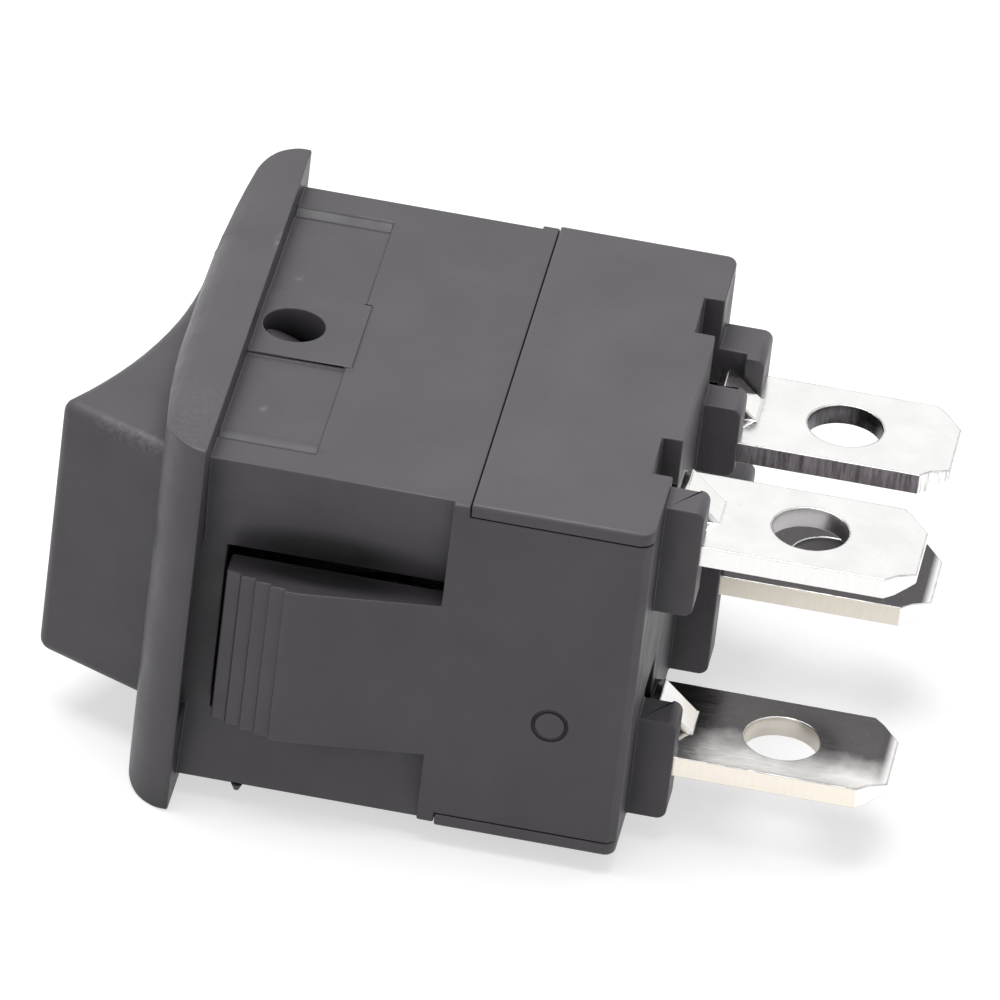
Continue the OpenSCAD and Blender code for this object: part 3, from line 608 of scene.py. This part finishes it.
class SWITCH_OT_mechanism(bpy.types.Operator):
    """Finish the plungers, springs, bridges and contacts"""

    bl_idname = "switch.mechanism"
    bl_label = "Mechanism"

    def execute(self, context):
        s = context.scene.switch_mechanism
        finishes = {
            "plunger_": smooth_plastic("plunger_acetal", s.plunger_color, 0.4),
            "spring_": drawn_metal("spring_wire", s.steel_color, 0.32),
            "bridge_": drawn_metal("bridge_copper", s.copper_color, 0.34),
            "moving_contact_": drawn_metal("contact_silver", s.silver_color, 0.38),
        }
        finishes["fixed_contact_"] = finishes["moving_contact_"]
        for kind, finish in finishes.items():
            for pole in POLES:
                if kind == "spring_":
                    add_spring(pole, finish)
                else:
                    dress(kind + pole, finish, s.edge_radius)
        return {"FINISHED"}


def add_spring(pole, material):
    """A copy of a pole's spring that rides on the rocker."""
    bm = welded("spring_" + pole)
    piece = new_piece(f"spring_{pole}_finish", bm, "rocker")
    piece.data.materials.append(material)
    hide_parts("spring_" + pole)
    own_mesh(piece)


class SWITCH_OT_stage(bpy.types.Operator):
    """Add the floor, the lights and the camera"""

    bl_idname = "switch.stage"
    bl_label = "Stage"

    def execute(self, context):
        s = context.scene.switch_stage
        add_floor()
        add_world(s.world)
        middle = (CAD_LOW + CAD_HIGH) / 2
        add_lamp("key", middle + KEY_PLACE, middle, size=0.24, power=0.75)
        add_lamp("fill", middle + FILL_PLACE, middle, size=0.2, power=0.06)
        add_camera(s)
        context.scene.view_settings.view_transform = "Standard"
        return {"FINISHED"}


def add_floor():
    bm = bmesh.new()
    bmesh.ops.create_grid(bm, x_segments=1, y_segments=1, size=2)
    bmesh.ops.translate(bm, verts=bm.verts, vec=(0, 0, CAD_LOW.z - FLOOR_GAP))
    mesh = bpy.data.meshes.new("floor")
    bm.to_mesh(mesh)
    bm.free()
    floor = bpy.data.objects.new("floor", mesh)
    bpy.context.scene.collection.objects.link(floor)
    recipe = Recipe("floor_white", 1.0)
    recipe.shader.inputs["Base Color"].default_value = FLOOR_COLOR
    recipe.shader.inputs["Specular IOR Level"].default_value = 0
    recipe.shader.inputs["Emission Color"].default_value = WHITE
    recipe.join(Emission_Strength=recipe.math("MULTIPLY", seen(recipe), FLOOR_GLOW))
    mesh.materials.append(recipe.material)


def seen(recipe):
    """1 for rays from the camera and from mirrors and glass, 0 for those that light the scene."""
    path = recipe.add("LightPath")
    reflected = recipe.math("MAXIMUM", path.outputs["Is Glossy Ray"],
                            path.outputs["Is Transmission Ray"])
    return recipe.math("MAXIMUM", path.outputs["Is Camera Ray"], reflected)


def add_world(strength):
    world = bpy.data.worlds.new("studio")
    world.use_nodes = True
    bpy.context.scene.world = world
    tree = world.node_tree
    background = tree.nodes["Background"]
    background.inputs["Color"].default_value = WHITE
    path = tree.nodes.new("ShaderNodeLightPath")
    mirror = tree.nodes.new("ShaderNodeMath")
    mirror.operation = "MAXIMUM"
    tree.links.new(path.outputs["Is Glossy Ray"], mirror.inputs[0])
    tree.links.new(path.outputs["Is Transmission Ray"], mirror.inputs[1])
    visible = tree.nodes.new("ShaderNodeMath")
    visible.operation = "MAXIMUM"
    tree.links.new(path.outputs["Is Camera Ray"], visible.inputs[0])
    tree.links.new(mirror.outputs[0], visible.inputs[1])
    level = tree.nodes.new("ShaderNodeMapRange")
    level.inputs["To Min"].default_value = strength
    level.inputs["To Max"].default_value = 1
    tree.links.new(visible.outputs[0], level.inputs["Value"])
    tree.links.new(level.outputs["Result"], background.inputs["Strength"])


def add_lamp(name, place, target, size, power):
    lamp = bpy.data.lights.new(name, "AREA")
    lamp.size = size
    lamp.energy = power
    holder = bpy.data.objects.new(name, lamp)
    holder.location = place
    holder.rotation_mode = "QUATERNION"
    holder.rotation_quaternion = (target - place).to_track_quat("-Z", "Y")
    holder.visible_camera = False
    bpy.context.scene.collection.objects.link(holder)


def add_camera(s):
    """Stands the camera round the middle of the body, turned by its roll."""
    back = Vector((math.sin(s.azimuth) * math.cos(s.elevation),
                   -math.cos(s.azimuth) * math.cos(s.elevation), math.sin(s.elevation)))
    turn = (-back).to_track_quat("-Z", "Y").to_matrix() @ Matrix.Rotation(s.roll, 3, "Z")
    camera = bpy.data.cameras.new("camera")
    camera.lens = s.lens
    camera.clip_start, camera.clip_end = 0.05, 10
    holder = bpy.data.objects.new("camera", camera)
    shift = turn @ Vector((s.aim_right, s.aim_up, 0))
    holder.matrix_world = Matrix.Translation(AIM + shift + back * s.distance) @ turn.to_4x4()
    bpy.context.scene.collection.objects.link(holder)
    bpy.context.scene.camera = holder


class SWITCH_PT_panel(bpy.types.Panel):
    """Steps that dress the switch"""

    bl_idname = "SWITCH_PT_panel"
    bl_label = "Panel rocker switch"
    bl_space_type = "VIEW_3D"
    bl_region_type = "UI"
    bl_category = "Switch"

    def draw(self, context):
        for operator in OPERATORS:
            self.layout.operator(operator.bl_idname)


GROUPS = {
    "switch_body": SwitchBodySettings,
    "switch_rocker": SwitchRockerSettings,
    "switch_terminals": SwitchTerminalSettings,
    "switch_mechanism": SwitchMechanismSettings,
    "switch_stage": SwitchStageSettings,
}
OPERATORS = (
    SWITCH_OT_stage,
    SWITCH_OT_housing,
    SWITCH_OT_base,
    SWITCH_OT_rocker,
    SWITCH_OT_terminals,
    SWITCH_OT_mechanism,
)


def register():
    for cls in (*GROUPS.values(), *OPERATORS, SWITCH_PT_panel):
        bpy.utils.register_class(cls)
    for name, group in GROUPS.items():
        setattr(bpy.types.Scene, name, PointerProperty(type=group))


def unregister():
    for name in GROUPS:
        delattr(bpy.types.Scene, name)
    for cls in (SWITCH_PT_panel, *reversed(OPERATORS), *GROUPS.values()):
        bpy.utils.unregister_class(cls)


def main():
    register()
    bpy.ops.switch.stage()
    bpy.ops.switch.housing()
    bpy.ops.switch.base()
    bpy.ops.switch.rocker()
    bpy.ops.switch.terminals()
    bpy.ops.switch.mechanism()
    bpy.context.view_layer.update()


if __name__ == "__main__":
    main()
